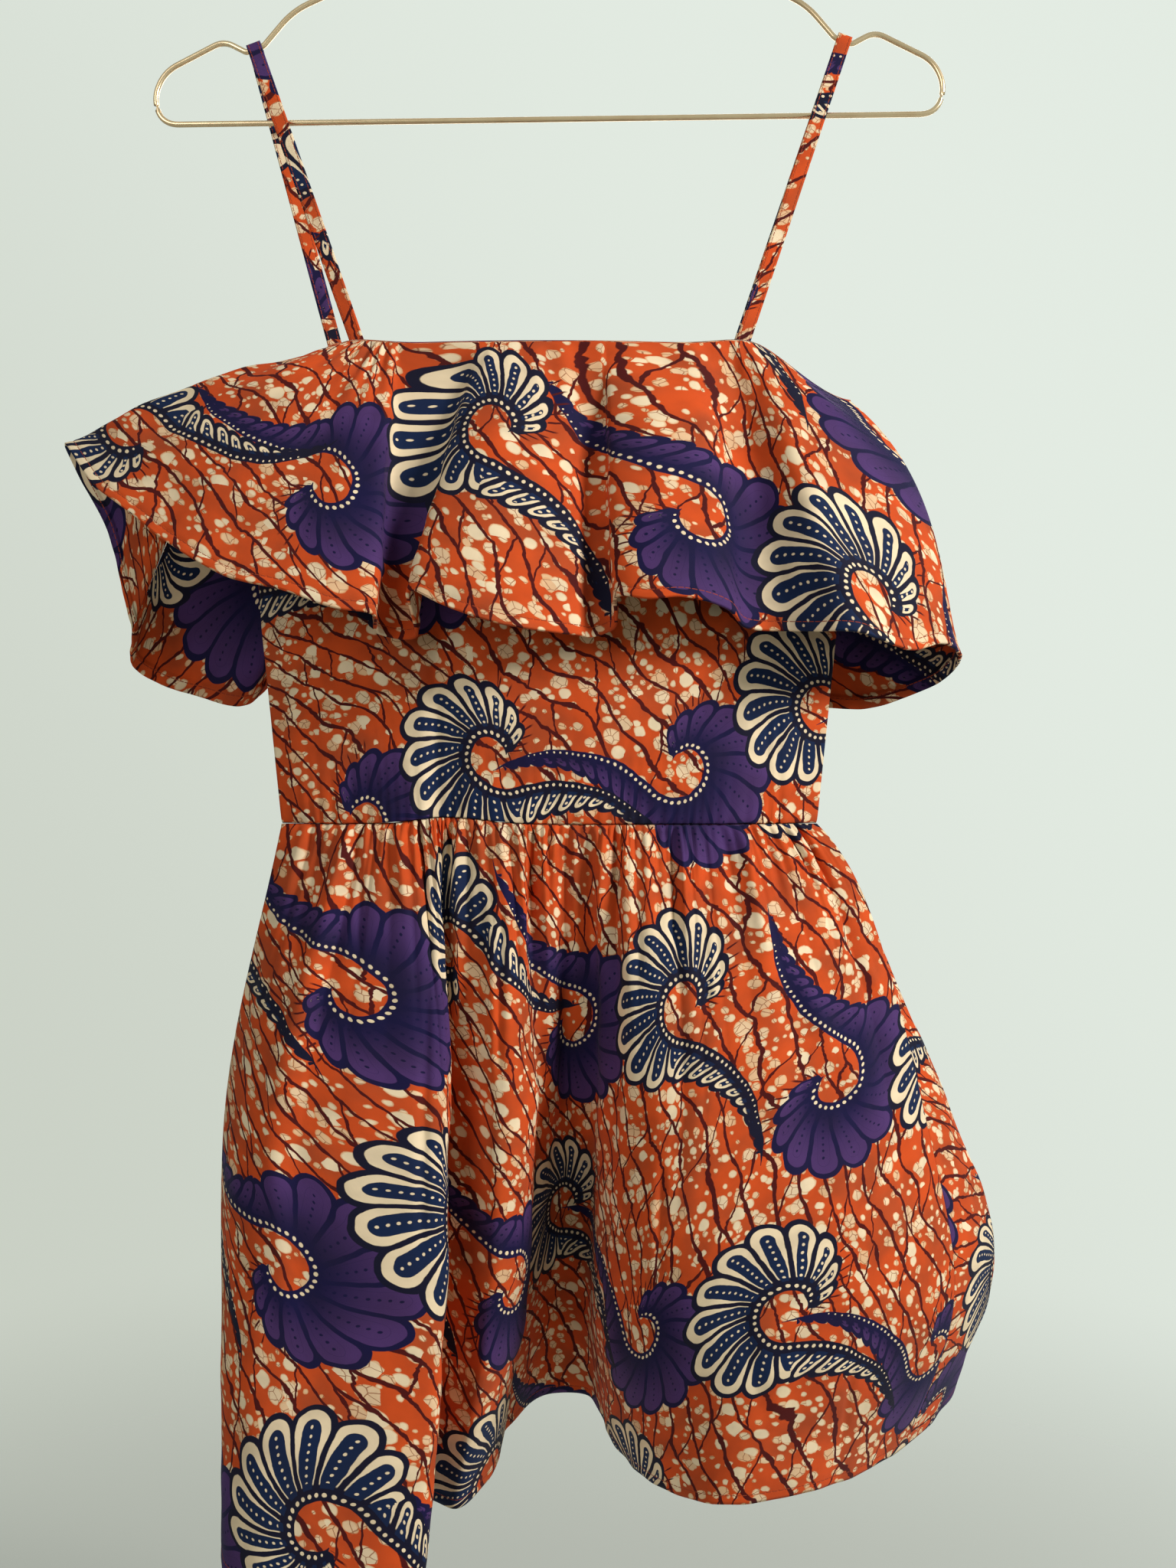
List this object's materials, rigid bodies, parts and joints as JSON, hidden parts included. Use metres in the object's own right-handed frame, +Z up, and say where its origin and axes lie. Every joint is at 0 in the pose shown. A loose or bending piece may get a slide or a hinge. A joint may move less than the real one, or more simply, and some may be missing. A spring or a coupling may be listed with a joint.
{
  "type": "strapped flounce dress on a wire hanger",
  "caption": "Short dress with thin straps, a deep flounce, fitted bodice and gathered skirt, hung by its straps on a notched wire hanger.",
  "frame": {"origin": "the point where the inner top of the hanger's hook rests on a rail", "axes": "+Z up; the front of the dress faces -Y; +X is the viewer's right, seen from the front"},
  "size_m": [0.5168, 0.2077, 0.9502],
  "materials": {
    "printed_cotton": "plain-woven wax-printed cotton, matt with a slight sheen",
    "gold_wire": "polished plated wire"
  },
  "bodies": {
    "root": {"bodice_front": "printed_cotton", "bodice_back": "printed_cotton", "flounce_front": "printed_cotton", "flounce_back": "printed_cotton", "skirt_front": "printed_cotton", "skirt_back": "printed_cotton", "strap_left": "printed_cotton", "strap_right": "printed_cotton", "hanger_frame": "gold_wire", "hanger_collar": "gold_wire", "hanger_hook": "gold_wire"}
  },
  "joints": []
}
